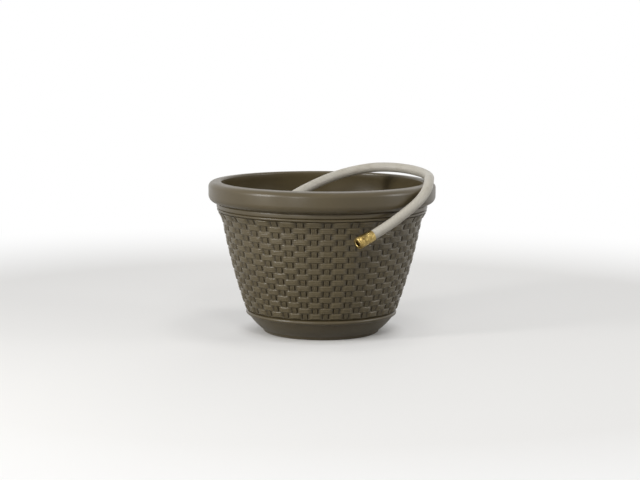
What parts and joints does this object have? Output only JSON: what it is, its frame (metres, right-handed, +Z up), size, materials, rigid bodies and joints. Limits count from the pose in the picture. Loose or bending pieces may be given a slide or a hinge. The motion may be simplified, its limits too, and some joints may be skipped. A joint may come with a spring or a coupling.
{
  "type": "garden hose pot",
  "caption": "Round floor-standing hose pot with a rolled rim and moulded basket-weave wall, holding a coiled garden hose whose end hangs over the rim.",
  "frame": {"origin": "centre of the foot, on the ground; the hose isn't counted", "axes": "+Z up, -Y towards the viewer of the picture, where the hose end hangs; the hose feed hole is on +Y"},
  "size_m": [0.52, 0.5379, 0.38],
  "materials": {
    "resin": "moulded grey-brown resin, satin",
    "weave_resin": "moulded grey-brown resin, satin, fine strands",
    "hose_vinyl": "soft vinyl, smooth, satin",
    "brass": "machined and crimped brass",
    "washer_rubber": "moulded rubber"
  },
  "bodies": {
    "pot": {"pot_body": "resin", "basket_weave": "weave_resin", "hose_coil": "hose_vinyl", "hose_run": "hose_vinyl", "outlet_ferrule": "brass", "outlet_coupling": "brass", "inlet_ferrule": "brass", "inlet_tailpiece": "brass"},
    "swivel": {"swivel_nut": "brass", "sealing_washer": "washer_rubber"}
  },
  "joints": [
    {"name": "swivel_turn", "type": "hinge", "parent": "pot", "child": "swivel", "pos_m": [-0.062, -0.03, 0.025], "axis": [0, -1, 0], "continuous": true}
  ]
}
